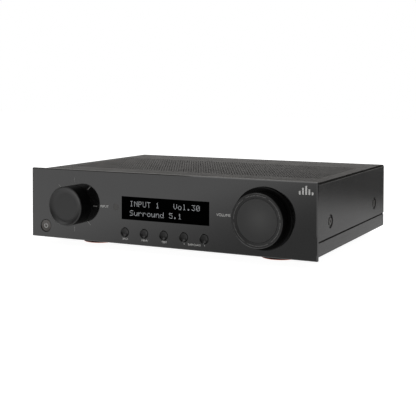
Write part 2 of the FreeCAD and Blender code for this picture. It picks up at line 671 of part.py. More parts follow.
def socket_screw(name, head_radius, head_height, shank_radius, shank_length):
    """A screw along local Y: its head above y = 0, with a hexagon socket, and its shank below."""
    profile = [
        ("0", f"-({shank_length})"), (shank_radius, f"-({shank_length})"), (shank_radius, "0"),
        (head_radius, "0"),
        (head_radius, f"{head_height} - 0.4"), (f"{head_radius} - 0.5", head_height), ("0", head_height),
    ]
    blank = turned(f"{name}_blank", profile)
    key = hexagon(f"{name}_key", ("0", f"{head_height} - socket_depth", "0"), "socket_width",
                  f"socket_depth + {PAST}", along="y")
    return cut(name, blank, key)


def fasteners():
    """The screws that hold the cover and the back plate."""
    side = socket_screw("side_screw", "screw_head", "side_head_height", "screw_shank", "side_screw_length")
    node(copies("cover_screws", side, *screw_positions()), "cover_screws")
    rear = socket_screw("rear_screw", "rear_screw_head", "rear_head_height", "rear_screw_shank",
                        "rear_screw_length")
    places = []
    for x in REAR_SCREW_COLUMNS:
        for up in REAR_SCREW_HEIGHTS:
            places.append((x, BACK, f"floor_gap + {up}"))
    return node(copies("rear_screws", rear, places), "rear_screws")


def feet():
    """Four round feet: a moulded body, a coloured ring round its lower edge, a rubber pad and a screw."""
    places = [(x, f"{FRONT} + {y}", "0") for x in ("-foot_x", "foot_x") for y in ("foot_front", "foot_rear")]
    ring_low = "foot_lift"
    ring_top = "(foot_lift + foot_ring)"
    seat = "pad_thickness"
    bore = "(screw_shank + screw_clearance)"
    top = CASE_FLOOR
    moulding = [
        (bore, "foot_floor"), ("foot_well", "foot_floor"), ("foot_well", seat), ("pad_radius", seat),
        ("pad_radius", ring_top), ("foot_radius - 0.4", ring_top), ("foot_radius - 0.4", "9"),
        ("foot_radius - 1.6", f"{top} - 1"), ("foot_radius - 2.6", top), (bore, top),
    ]
    ring = [
        ("pad_radius", ring_low), ("foot_radius - 0.2", ring_low), ("foot_radius", f"{ring_low} + 0.2"),
        ("foot_radius", f"{ring_top} - 0.2"), ("foot_radius - 0.2", ring_top), ("pad_radius", ring_top),
    ]
    rubber = [("pad_hole", "0"), ("pad_radius - 0.4", "0"), ("pad_radius - 0.1", "0.3"),
              ("pad_radius - 0.1", seat),
              ("pad_hole", seat)]
    head = "(foot_floor - 3.4)"
    screw = [
        ("0", f"{head} + 0.8"), ("1.4", f"{head} + 0.8"), ("1.4", head), ("3.6", head),
        ("3.9", f"{head} + 0.4"),
        ("3.9", "foot_floor"), ("screw_shank", "foot_floor"), ("screw_shank", f"{top} + foot_floor"),
        ("0", f"{top} + foot_floor"),
    ]
    for name, profile in (("foot_bodies", moulding), ("foot_rings", ring), ("foot_pads", rubber),
                          ("foot_screws", screw)):
        node(copies(name, turned(f"{name}_piece", profile, "XZ_Plane"), places), name)


# ---------------------------------------------------------------- back
def post_places():
    """Name, height and place across the back of each loudspeaker terminal."""
    for number, channel in enumerate(CHANNELS):
        x = f"(post_x - {number} * post_pitch)"
        yield f"{channel}_red", x, "(post_low + post_rise)"
        yield f"{channel}_black", x, "post_low"


def phono_places():
    return [(f"(phono_x + {column} * phono_pitch)", up)
            for column in range(PHONO_COLUMNS) for up in ("phono_low", "(phono_low + phono_rise)")]


def video_columns():
    return [f"(video_x + {number} * video_pitch)" for number in range(VIDEO_SOCKETS)]


def rear_panel():
    """The steel back plate, cut out for every socket, with a row of vent slots."""
    plate = body("rear_panel")
    low = "case_lift"
    high = "(case_lift + case_height - cover_thickness - clearance)"
    outline = sketch(plate, "XZ_Plane")
    rectangle(outline, "0", f"({low} + {high}) / 2", "case_width - 2 * (cover_thickness + clearance)",
              f"({high} - {low})")
    pad(plate, outline, "plate_thickness", reverse=True)
    top = mm(high)
    round_edges(plate, "Fillet", "cover_bend",
                lambda edge: edge.BoundBox.YLength > 1 and abs(edge.BoundBox.Center.z - top) < 1e-3)
    holes = sketch(plate, "XZ_Plane")
    rectangle(holes, *TERMINAL_MIDDLE, *TERMINAL_FIELD)
    rectangle(holes, *PHONO_MIDDLE, f"{PHONO_FIELD[0]} - 2 * phono_block_step + 4 * clearance",
              f"{PHONO_FIELD[1]} - 2 * phono_block_step + 4 * clearance")
    pocket(plate, holes)
    holes = sketch(plate, "XZ_Plane")
    room = "2 * clearance"
    rectangle(holes, "inlet_x", "inlet_up", f"inlet_width + {room}", f"inlet_height + {room}")
    rectangle(holes, "inlet_x", "rocker_up", f"switch_box_width + {room}", f"switch_box_height + {room}")
    rectangle(holes, "network_x", "network_up", f"network_width + {room}", f"network_height + {room}")
    circle(holes, "antenna_x", "antenna_up", "antenna_radius + clearance")
    pocket(plate, holes)
    video = rectangle(sketch(plate, "XZ_Plane"), "video_x", "video_up", f"video_width + {room}",
                      f"video_height + {room}")
    repeat(plate, pocket(plate, video), f"{VIDEO_SOCKETS - 1} * video_pitch", VIDEO_SOCKETS)
    slot = rectangle(sketch(plate, "XZ_Plane"), "rear_slot_x", "rear_slot_up", "slot_width",
                     "rear_slot_height")
    repeat(plate, pocket(plate, slot), f"{REAR_SLOTS - 1} * rear_slot_pitch", REAR_SLOTS)
    for x in REAR_SCREW_COLUMNS:
        drill = sketch(plate, "XZ_Plane")
        for up in REAR_SCREW_HEIGHTS:
            circle(drill, x, up, "rear_screw_shank + clearance")
        pocket(plate, drill)
    return node(place(plate, ("0", f"{BACK} - plate_thickness", "floor_gap")), "rear_panel")


def terminal_block():
    """The moulded block that carries the binding posts, with a collar round each."""
    base = body("terminal_block")
    width, height = TERMINAL_FIELD
    outline = rectangle(sketch(base, "XZ_Plane"), *TERMINAL_MIDDLE, f"{width} + 4", f"{height} + 4")
    pad(base, outline, "post_block_face", reverse=True)
    inner = rectangle(sketch(base, "XZ_Plane"), *TERMINAL_MIDDLE, f"{width} - 0.4", f"{height} - 0.4")
    pad(base, inner, "post_block_depth")
    collars = sketch(base, "XZ_Plane")
    holes = sketch(base, "XZ_Plane")
    for name, x, up in post_places():
        circle(collars, x, up, "post_collar")
        circle(holes, x, up, "stud_radius")
    pad(base, collars, "collar_height", reverse=True)
    pocket(base, holes)
    return node(place(base, ("0", BACK, "floor_gap")), "terminal_block")


def terminal_cap(name, x, up):
    """A grooved cap that screws down on a stud, with a flange at its foot and a hole for a 4 mm plug."""
    stud_end = "(rear_reach - stud_drop)"
    thread = "(stud_radius + shaft_clearance)"
    foot = "(collar_height + 0.3)"
    mouth = "(stud_bore + 0.4)"
    profile = [
        (thread, foot), ("post_radius", foot), ("post_radius + 0.6", f"{foot} + 0.7"),
        ("post_radius + 0.6", "grip_start - 1"), ("post_radius", "grip_start - 0.4"),
        ("post_radius", "rear_reach - 0.8"), ("post_radius - 0.8", "rear_reach"), (mouth, "rear_reach"),
        (mouth, f"{stud_end} + 0.4"), (thread, f"{stud_end} + 0.4"),
    ]
    cap = turned(f"{name}_blank", profile)
    grooves = sketch(cap, "XZ_Plane")
    grooves.setExpression("AttachmentOffset.Base.z", formula("-grip_start"))
    circle(grooves, "post_radius + 0.5", "0", "0.9")
    groove = pocket(cap, grooves, f"rear_reach - grip_start + {PAST}")
    pattern = cap.newObject("PartDesign::PolarPattern", f"{name}_pattern")
    pattern.Originals = [groove]
    pattern.Axis = (groove.Profile[0], ["N_Axis"])
    pattern.Angle = 360
    pattern.Occurrences = CAP_GRIPS
    cap.Tip = pattern
    doc.recompute()
    return node(place(cap, (x, BACK, f"floor_gap + {up}")), f"terminal_cap_{name}")


def speaker_terminals():
    """Binding posts: a moulded block, hollow metal studs for 4 mm plugs and caps that turn on them."""
    terminal_block()
    stud_end = "(rear_reach - stud_drop)"
    stud = [
        ("0", "-stud_root"), ("stud_radius", "-stud_root"), ("stud_radius", stud_end),
        ("stud_bore", stud_end),
        ("stud_bore", f"{stud_end} - stud_depth"), ("0", f"{stud_end} - stud_depth"),
    ]
    places = [(x, BACK, f"floor_gap + {up}") for name, x, up in post_places()]
    node(copies("terminal_studs", turned("terminal_stud", stud), places), "terminal_studs")
    for name, x, up in post_places():
        terminal_cap(name, x, up)


def phono_sockets():
    """Analogue sockets: a moulded block, metal barrels and coloured inserts."""
    housing = body("phono_housing")
    width, height = PHONO_FIELD
    pad(housing, rectangle(sketch(housing, "XZ_Plane"), *PHONO_MIDDLE, width, height), "phono_block_face",
        reverse=True)
    inner = rectangle(sketch(housing, "XZ_Plane"), *PHONO_MIDDLE, f"{width} - 2 * phono_block_step",
                      f"{height} - 2 * phono_block_step")
    pad(housing, inner, "phono_block_depth")
    holes = sketch(housing, "XZ_Plane")
    for x, up in phono_places():
        circle(holes, x, up, "phono_neck")
    pocket(housing, holes)
    node(place(housing, ("0", BACK, "floor_gap")), "phono_housing")
    end = "(phono_block_face + phono_length)"
    tip = f"({end} + phono_tip)"
    barrel = [
        ("phono_core", "-phono_root"), ("phono_neck", "-phono_root"), ("phono_neck", "phono_block_face"),
        ("phono_radius", "phono_block_face"), ("phono_radius", end), ("phono_radius - 0.3", tip),
        ("phono_core", tip),
    ]
    insert_end = f"({end} - phono_tip)"
    insert = [
        ("0", "-phono_root"), ("phono_core", "-phono_root"), ("phono_core", insert_end),
        ("phono_hole", insert_end), ("phono_hole", "1"), ("0", "1"),
    ]
    places = [(x, BACK, f"floor_gap + {up}") for x, up in phono_places()]
    node(copies("phono_barrels", turned("phono_barrel", barrel), places), "phono_barrels")
    return node(copies("phono_inserts", turned("phono_insert", insert), places), "phono_inserts")


def box_around(name, x, up, width, height, start, depth):
    """A box centred at a place on the back; its start counts backwards from the back plate's face."""
    return block(name, (f"{x} - ({width}) / 2", f"{BACK} + {start}", f"floor_gap + {up} - ({height}) / 2"),
                 (width, depth, height))


def digital_sockets():
    """Picture and sound sockets with a contact tongue each, and the network socket, all in metal shells."""
    high = ("-video_width / 2", "-video_depth", "-video_height / 2")
    wall = "video_wall"
    outside = block("video_outside", high, ("video_width", "video_depth + video_proud", "video_height"))
    inside = block("video_inside", (f"{high[0]} + {wall}", f"{high[1]} + 2", f"{high[2]} + {wall}"),
                   (f"video_width - 2 * {wall}", f"video_depth + video_proud - 2 + {PAST}",
                    f"video_height - 2 * {wall}"))
    tongue = block("video_tongue", ("-tongue_width / 2", f"{high[1]} + 2", "-tongue_height / 2"),
                   ("tongue_width", "tongue_reach", "tongue_height"))
    socket = fuse("video_socket", [cut("video_shell", outside, inside), tongue])
    places = [(x, BACK, "floor_gap + video_up") for x in video_columns()]
    case = box_around("network_case", "network_x", "network_up", "network_width", "network_height",
                      "(-network_depth)", "network_depth + video_proud")
    hollow = box_around("network_hollow", "network_x", "network_up", "network_mouth", "network_throat",
                        "(network_back - network_depth)",
                        f"network_depth + video_proud - network_back + {PAST}")
    sockets = [copies("video_sockets", socket, places), cut("network_socket", case, hollow)]
    return node(group("all_digital_sockets", sockets), "digital_sockets")


def antenna_socket():
    """The threaded aerial socket with its flange."""
    thread = [
        ("antenna_bore", "-antenna_root"), ("antenna_radius", "-antenna_root"), ("antenna_radius", "0"),
        ("antenna_flange", "0"), ("antenna_flange", "1.5"), ("antenna_radius", "1.5"),
        ("antenna_radius", "antenna_reach - 0.5"), ("antenna_radius - 0.5", "antenna_reach"),
        ("antenna_bore", "antenna_reach"),
    ]
    antenna = place(turned("antenna_socket", thread), ("antenna_x", BACK, "floor_gap + antenna_up"))
    return node(antenna, "antenna_socket")


def mains_inlet():
    """The mains inlet: a flanged box with a deep well and three flat pins."""
    at = ("inlet_x", "inlet_up")
    solid = [
        box_around("inlet_flange", *at, "flange_width", "flange_rise", "0", "flange_depth"),
        box_around("inlet_shell", *at, "inlet_width", "inlet_height", "(-inlet_depth)", "inlet_depth"),
    ]
    well = box_around("inlet_well", *at, "inlet_width - 2 * inlet_wall", "inlet_height - 2 * inlet_wall - 1",
                      "(-well_depth)", f"well_depth + flange_depth + {PAST}")
    pins = []
    for number, (x, z) in enumerate((("-pin_spread", "-pin_drop"), ("0", "pin_rise"),
                                     ("pin_spread", "-pin_drop"))):
        pins.append(box_around(f"inlet_pin_{number}", f"(inlet_x + {x})", f"(inlet_up + {z})", "pin_width",
                               "pin_height", "(-well_depth)", "pin_length"))
    hollow = cut("inlet_hollow", fuse("inlet_solid", solid), well)
    return node(fuse("mains_inlet", [hollow] + pins), "mains_inlet")


def mains_switch():
    """The mains switch: a framed housing and a rocker that tilts about a pin across it."""
    at = ("inlet_x", "rocker_up")
    solid = [
        box_around("switch_frame", *at, "switch_frame_width", "switch_frame_height", "0",
                   "switch_frame_depth"),
        box_around("switch_box", *at, "switch_box_width", "switch_box_height", "(-switch_box_depth)",
                   "switch_box_depth"),
    ]
    well = box_around("switch_well", *at, "switch_well_width", "switch_well_height", "(-switch_well_depth)",
                      f"switch_well_depth + switch_frame_depth + {PAST}")
    node(cut("switch_housing", fuse("switch_solid", solid), well), "switch_housing")
    rocker = body("mains_rocker")
    outline = [
        ("-6", "-5.6"), ("0.6", "-7.9"), ("2.2", "-7.7"), ("1.2", "0"), ("2.2", "7.7"), ("0.6", "7.9"),
        ("-6", "5.6"),
    ]
    item = pad(rocker, polygon(sketch(rocker, "YZ_Plane"), outline), "rocker_width")
    item.Midplane = True
    doc.recompute()
    place(rocker, ("inlet_x", f"{BACK} + rocker_pivot", "floor_gap + rocker_up"), (1, 0, 0),
          mm("rocker_tilt"))
    return node(rocker, "mains_rocker")


# ---------------------------------------------------------------- inside
BOARD_LOW = f"({TRAY_FLOOR} + amplifier_lift)"
BOARD_TOP = f"({BOARD_LOW} + board_thickness)"
MAIN_BOARD_LOW = f"({CASE_TOP} - main_board_drop)"


def boards():
    """The amplifier board on the tray and the socket board above it, with their pillars."""
    wide = "amplifier_board_width"
    deep = "amplifier_board_depth"
    board_front = f"({FRONT} + amplifier_board_front)"
    main_front = f"({BACK} - plate_thickness - main_board_gap - main_board_depth)"
    node(block("amplifier_board", ("amplifier_board_left", board_front, BOARD_LOW),
               (wide, deep, "board_thickness")),
         "amplifier_board")
    node(block("main_board", ("main_board_left", main_front, MAIN_BOARD_LOW),
               ("main_board_width", "main_board_depth", "board_thickness")), "main_board")
    inset = "pillar_inset"
    pillars = []
    low_corners = [(x, y) for y in (inset, f"{deep} - {inset}") for x in (inset, f"{wide} - {inset}")]
    for number, (x, y) in enumerate(low_corners):
        pillars.append(rod(f"low_pillar_{number}", (f"amplifier_board_left + {x}", f"{board_front} + {y}",
                                                    TRAY_FLOOR),
                           "pillar_radius", "amplifier_lift"))
    far_x = f"main_board_width - {inset}"
    high_corners = [(inset, inset), (far_x, inset), (far_x, f"main_board_depth - {inset}")]
    for number, (x, y) in enumerate(high_corners):
        pillars.append(rod(f"high_pillar_{number}", (f"main_board_left + {x}", f"{main_front} + {y}",
                                                     BOARD_TOP),
                           "pillar_radius", f"{MAIN_BOARD_LOW} - {BOARD_TOP}"))
    return node(group("board_pillars", pillars), "board_pillars")


def ribbon_cable():
    """The flat cable from the back of the control board to the top of the main board."""
    strip = body("ribbon_cable")
    run = ("(case_depth + panel_thickness - plate_thickness - main_board_gap - main_board_depth"
           " - switch_depth - board_thickness)")
    lift = f"({MAIN_BOARD_LOW} - floor_gap)"
    band = [
        ("0", f"{lift} - 12"), ("ribbon_thickness", f"{lift} - 12"), ("ribbon_thickness", f"{lift} + 2"),
        ("3", f"{lift} + 4"), (f"{run} + 6", f"{lift} + 4"), (f"{run} + 8", f"{lift} + board_thickness"),
        (f"{run} + 8.6", f"{lift} + board_thickness"), (f"{run} + 6.6", f"{lift} + 4.6"),
        ("2.7", f"{lift} + 4.6"),
        ("0", f"{lift} + 2.3"),
    ]
    item = pad(strip, polygon(sketch(strip, "YZ_Plane"), band), "ribbon_width")
    item.Midplane = True
    doc.recompute()
    place(strip, ("ribbon_x", f"{BOARD_FACE} + board_thickness", "floor_gap"))
    return node(strip, "ribbon_cable")


def heat_sink():
    """The finned heat sink along the amplifier board, and the power transistors clamped to it."""
    sink = body("heat_sink")
    base = rectangle(sketch(sink, "XZ_Plane"), "0", "sink_height / 2", "sink_width", "sink_height")
    pad(sink, base, "sink_base", reverse=True)
    fin = rectangle(sketch(sink, "XY_Plane"), "(fin_thickness - sink_width) / 2",
                    "sink_base + fin_reach / 2 - 0.1",
                    "fin_thickness", "fin_reach")
    repeat(sink, pad(sink, fin, "sink_height"), "sink_width - fin_thickness", SINK_FINS)
    face = f"({FRONT} + sink_front)"
    node(place(sink, ("sink_x", face, BOARD_TOP)), "heat_sink")
    chips = [block(f"transistor_{n}", (f"first_chip + {n} * chip_pitch", f"{face} - chip_depth",
                                       f"{BOARD_TOP} + chip_up"),
                   ("chip_width", "chip_depth", "chip_height")) for n in range(TRANSISTORS)]
    return node(group("power_transistors", chips), "power_transistors")


def power_supply():
    """The ring transformer bolted to the tray and the filter capacitors beside it."""
    centre = ("winding_x", f"{FRONT} + winding_front", TRAY_FLOOR)
    inner = "winding_inner"
    outer = "winding_outer"
    low = "winding_low"
    high = "winding_high"
    edge = "winding_round"
    winding = [
        (inner, f"{low} + 4"), (f"{inner} + 4", low), (f"{outer} - {edge}", low), (outer, f"{low} + {edge}"),
        (outer, f"{high} - {edge}"), (f"{outer} - {edge}", high), (f"{inner} + 4", high),
        (inner, f"{high} - 4"),
    ]
    node(place(turned("transformer", winding, "XZ_Plane"), centre), "transformer")
    plate = "clamp_thickness"
    clamp = [
        ("0", "0"), ("clamp_base", "0"), ("clamp_base", plate), ("clamp_core", plate), ("clamp_core", high),
        ("clamp_top", high), ("clamp_top", f"{high} + {plate}"), ("bolt_radius", f"{high} + {plate}"),
        ("bolt_radius", f"{high} + {plate} + bolt_height"), ("0", f"{high} + {plate} + bolt_height"),
    ]
    node(place(turned("transformer_clamp", clamp, "XZ_Plane"), centre), "transformer_clamp")
    cans = [rod(f"capacitor_{n}", (f"{n} * can_pitch", f"{FRONT} + can_front", BOARD_TOP), "can_radius",
                "can_height")
            for n in range(CAPACITORS)]
    return node(group("filter_capacitors", cans), "filter_capacitors")


front_panel()
front_plate()
display()
buttons()
remote_window()
knobs()
control_board()
top_cover()
vent_grille()
chassis_tray()
fasteners()
feet()
rear_panel()
speaker_terminals()
phono_sockets()
digital_sockets()
antenna_socket()
mains_inlet()
mains_switch()
boards()
ribbon_cable()
heat_sink()
power_supply()
doc.recompute()

for item in doc.Objects:
    if {"Invalid", "Error"} & set(item.State):
        raise ValueError(f"{item.Name} failed: {item.State}")
for item in subparts:
    if item.Shape.isNull() or not item.Shape.isValid():
        raise ValueError(f"{item.Label} has no valid shape")

os.makedirs("parts", exist_ok=True)
for item in subparts:
    item.Shape.exportStep(f"parts/{item.Label}.step")
print(f"{len(subparts)} sub-parts written")
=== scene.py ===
"""Looks of the audio-video receiver: camera, studio, a material for every CAD node, printing, display text
and the fine perforated sheet of the cover. Lengths are metres, and values in millimetres carry MM."""
import math

import bmesh
import bpy
from mathutils import Matrix, Vector


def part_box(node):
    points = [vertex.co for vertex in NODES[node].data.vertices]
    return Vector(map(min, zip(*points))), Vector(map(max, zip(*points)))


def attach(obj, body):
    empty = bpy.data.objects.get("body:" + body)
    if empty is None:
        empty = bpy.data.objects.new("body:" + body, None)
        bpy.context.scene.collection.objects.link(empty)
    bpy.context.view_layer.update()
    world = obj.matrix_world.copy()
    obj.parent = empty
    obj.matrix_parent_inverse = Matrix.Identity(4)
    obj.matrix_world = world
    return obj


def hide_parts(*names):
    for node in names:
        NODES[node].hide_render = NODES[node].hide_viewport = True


MM = 0.001
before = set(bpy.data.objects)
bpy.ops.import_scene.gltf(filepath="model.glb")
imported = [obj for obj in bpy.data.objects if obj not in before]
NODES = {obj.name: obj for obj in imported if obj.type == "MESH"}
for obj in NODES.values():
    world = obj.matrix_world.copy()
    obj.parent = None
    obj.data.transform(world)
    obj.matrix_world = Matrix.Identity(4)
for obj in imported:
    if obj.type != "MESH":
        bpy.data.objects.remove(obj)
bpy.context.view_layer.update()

PANEL_LOW, PANEL_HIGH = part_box("front_panel")
FACE = PANEL_LOW.y
FLOOR_GAP = PANEL_LOW.z
PRINT_HEIGHT = 0.04
WHITE = (1.0, 1.0, 1.0)


def centre(node):
    """The middle of a CAD node's box."""
    low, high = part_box(node)
    return (low + high) / 2


def on_panel(x, up, proud=0.0):
    """A point on the front panel, from millimetres across it and up from its lower edge."""
    return Vector((x * MM, FACE - proud * MM, FLOOR_GAP + up * MM))


# ---------------------------------------------------------------- camera
def camera():
    """A long lens, level with the top of the receiver and to its right, shifted down like a view camera."""
    data = bpy.data.cameras.new("camera")
    item = bpy.data.objects.new("camera", data)
    bpy.context.scene.collection.objects.link(item)
    data.sensor_width = 36
    data.lens = 78.38
    data.shift_x = -0.0053
    data.shift_y = -0.2346
    data.clip_end = 50
    yaw = math.radians(26.34)
    pitch = math.radians(-1.67)
    roll = math.radians(0.132)
    turn = Matrix.Rotation(yaw, 4, "Z") @ Matrix.Rotation(math.pi / 2 + pitch, 4, "X")
    turn = turn @ Matrix.Rotation(roll, 4, "Z")
    stand = on_panel(x=589.0, up=218.5, proud=1049.8)
    item.matrix_world = Matrix.Translation(stand) @ turn
    bpy.context.scene.camera = item


# ---------------------------------------------------------------- light
def glow_look(name, colour, strength=1.0):
    """A material that only glows, with its node tree and the socket that holds its strength."""
    look = bpy.data.materials.new(name)
    look.use_nodes = True
    tree = look.node_tree
    tree.nodes.clear()
    glow = tree.nodes.new("ShaderNodeEmission")
    glow.inputs["Color"].default_value = (*colour, 1)
    glow.inputs["Strength"].default_value = strength
    out = tree.nodes.new("ShaderNodeOutputMaterial")
    tree.links.new(glow.outputs[0], out.inputs["Surface"])
    return look, tree, glow.inputs["Strength"]


def joined(tree, operation, *values):
    """The result of a sum or another operation on one or two values."""
    item = tree.nodes.new("ShaderNodeMath")
    item.operation = operation
    for number, value in enumerate(values):
        tree.links.new(value, item.inputs[number])
    return item.outputs[0]


def smooth_ramp(tree, value, start, end, low, high):
    """A value that runs from low at the start to high at the end, with soft ends."""
    spread = tree.nodes.new("ShaderNodeMapRange")
    spread.interpolation_type = "SMOOTHSTEP"
    spread.inputs["From Min"].default_value = start
    spread.inputs["From Max"].default_value = end
    spread.inputs["To Min"].default_value = low
    spread.inputs["To Max"].default_value = high
    tree.links.new(value, spread.inputs["Value"])
    return spread.outputs["Result"]


def ramp_along(tree, axis, start, end, low, high, both_sides=False):
    """A value that runs from low at one place to high at another, along an object axis."""
    where = tree.nodes.new("ShaderNodeTexCoord")
    split = tree.nodes.new("ShaderNodeSeparateXYZ")
    tree.links.new(where.outputs["Object"], split.inputs[0])
    value = split.outputs["XYZ".index(axis)]
    if both_sides:
        value = joined(tree, "ABSOLUTE", value)
    return smooth_ramp(tree, value, start, end, low, high)


def ramp_from(tree, middle, start, end, low, high):
    """A value that runs from low near a point to high further from it."""
    where = tree.nodes.new("ShaderNodeTexCoord")
    distance = tree.nodes.new("ShaderNodeVectorMath")
    distance.operation = "DISTANCE"
    tree.links.new(where.outputs["Object"], distance.inputs[0])
    distance.inputs[1].default_value = middle
    return smooth_ramp(tree, distance.outputs["Value"], start, end, low, high)


def unseen(item, lights_matt=False):
    """Leaves a studio thing to the reflections: no camera ray or shadow, and no matt light unless asked."""
    item.visible_camera = False
    item.visible_shadow = False
    item.visible_transmission = False
    item.visible_volume_scatter = False
    item.visible_diffuse = lights_matt


def card(name, corners, look):
    """A four-cornered card that only polished surfaces mirror."""
    mesh = bpy.data.meshes.new(name)
    mesh.from_pydata(corners, [], [(0, 1, 2, 3)])
    mesh.materials.append(look)
    item = bpy.data.objects.new(name, mesh)
    bpy.context.scene.collection.objects.link(item)
    unseen(item)


def floor_card(name, low, high, look):
    """A card lying just over the floor, from one corner to the opposite one."""
    level = 1.5 * MM
    corners = [(low[0], low[1], level), (high[0], low[1], level), (high[0], high[1], level),
               (low[0], high[1], level)]
    card(name, corners, look)


def wall_card(name, middle, width, high, look):
    """A card standing on the floor and facing the object."""
    across = Vector((-middle[1], middle[0], 0)).normalized() * width / 2
    foot = Vector((*middle, 0))
    top = Vector((0, 0, high))
    card(name, [foot - across, foot + across, foot + across + top, foot - across + top], look)


def overhead_light():
    """A soft lamp over the object, facing straight down."""
    data = bpy.data.lights.new("overhead", "AREA")
    data.shape = "RECTANGLE"
    data.size = 1.8
    data.size_y = 1.4
    data.energy = 16
    item = bpy.data.objects.new("overhead", data)
    item.location = (0.0, 0.0, 1.9)
    item.rotation_mode = "QUATERNION"
    item.rotation_quaternion = Vector((0.0, 0.0, -1.0)).to_track_quat("-Z", "Y")
    item.visible_camera = False
    bpy.context.scene.collection.objects.link(item)


def white_world():
    """Plain colours and a white background."""
    scene = bpy.context.scene
    scene.view_settings.view_transform = "Standard"
    scene.view_settings.look = "None"
    world = bpy.data.worlds.new("studio")
    scene.world = world
    world.use_nodes = True
    background = world.node_tree.nodes["Background"]
    background.inputs["Color"].default_value = (*WHITE, 1)
    background.inputs["Strength"].default_value = 1.0


def pale_floor():
    """A floor of pale paper that glows a little, so it stays almost white. The glow fades a little towards
    the object and stops right under it, which paints shade there.
    """
    bpy.ops.mesh.primitive_plane_add(size=9, location=(0, 0, 0))
    floor = bpy.context.object
    floor.name = "floor"
    look = bpy.data.materials.new("floor_paper")
    look.use_nodes = True
    tree = look.node_tree
    paper = tree.nodes["Principled BSDF"]
    paper.inputs["Base Color"].default_value = (0.5, 0.5, 0.5, 1)
    paper.inputs["Roughness"].default_value = 1.0
    paper.inputs["Specular IOR Level"].default_value = 0.0
    paper.inputs["Emission Color"].default_value = (*WHITE, 1)
    # Painted shade: the glow is a little weaker near the object and nil under it.
    outer = ramp_from(tree, (0, 0, 0), 0.25, 1.6, 0.95, 1.0)
    beside = ramp_along(tree, "X", 0.12, 0.155, 0.0, 1.0, both_sides=True)
    before = ramp_along(tree, "Y", 0.05, 0.08, 0.0, 1.0, both_sides=True)
    glow_with_painted_shade = joined(tree, "MULTIPLY", outer, joined(tree, "MAXIMUM", beside, before))
    tree.links.new(glow_with_painted_shade, paper.inputs["Emission Strength"])
    floor.data.materials.append(look)


def dim_walls():
    """A dim round room, a little lighter overhead."""
    bpy.ops.mesh.primitive_ico_sphere_add(subdivisions=4, radius=6.5, location=(0, 0, 0))
    walls = bpy.context.object
    walls.name = "studio_walls"
    look, tree, strength = glow_look("dim_walls", (1.0, 0.985, 0.965))
    tree.links.new(ramp_along(tree, "Z", 0.5, 5.0, 0.26, 0.35), strength)
    walls.data.materials.append(look)
    unseen(walls, lights_matt=True)


def mirrored_cards():
    """What the glossy panel, the knobs' faces and the satin case mirror."""
    front_edge = FACE - 0.03
    look, tree, strength = glow_look("front_card", WHITE)
    tree.links.new(ramp_along(tree, "X", -0.32, 0.13, 1.66, 0.6), strength)
    floor_card("front_card", (-0.45, -2.5), (0.44, front_edge), look)
    floor_card("front_card_left", (-2.5, -2.5), (-0.45, -0.47), look)
    floor_card("dim_card", (-2.5, -0.46), (-0.46, 0.6), glow_look("dim_card", WHITE, 0.3)[0])
    floor_card("edge_card", (0.45, -1.0), (1.6, front_edge), glow_look("edge_card", WHITE, 1.5)[0])

    look, tree, strength = glow_look("side_card", WHITE)
    tree.links.new(ramp_along(tree, "Y", 0.24, 0.7, 0.49, 0.09), strength)
    floor_card("side_card", (PANEL_HIGH.x + 0.01, FACE), (3.0, 3.0), look)

    look, tree, strength = glow_look("back_card", (1.0, 0.975, 0.945))
    tree.links.new(ramp_along(tree, "Z", 0.46, 0.55, 0.36, 0.004), strength)
    wall_card("back_card", (-1.0, 2.9), 7.0, 3.2, look)

    spot = (-0.95, -1.7, 0.85)
    look, tree, strength = glow_look("front_box", WHITE)
    tree.links.new(ramp_from(tree, spot, 0.2, 0.65, 3.6, 0.3), strength)
    wall_card("front_box", spot[:2], 1.3, 1.5, look)


def studio():
    """A pale floor and backdrop, with dim walls, a soft overhead light and cards that the gloss mirrors."""
    white_world()
    pale_floor()
    dim_walls()
    mirrored_cards()
    overhead_light()


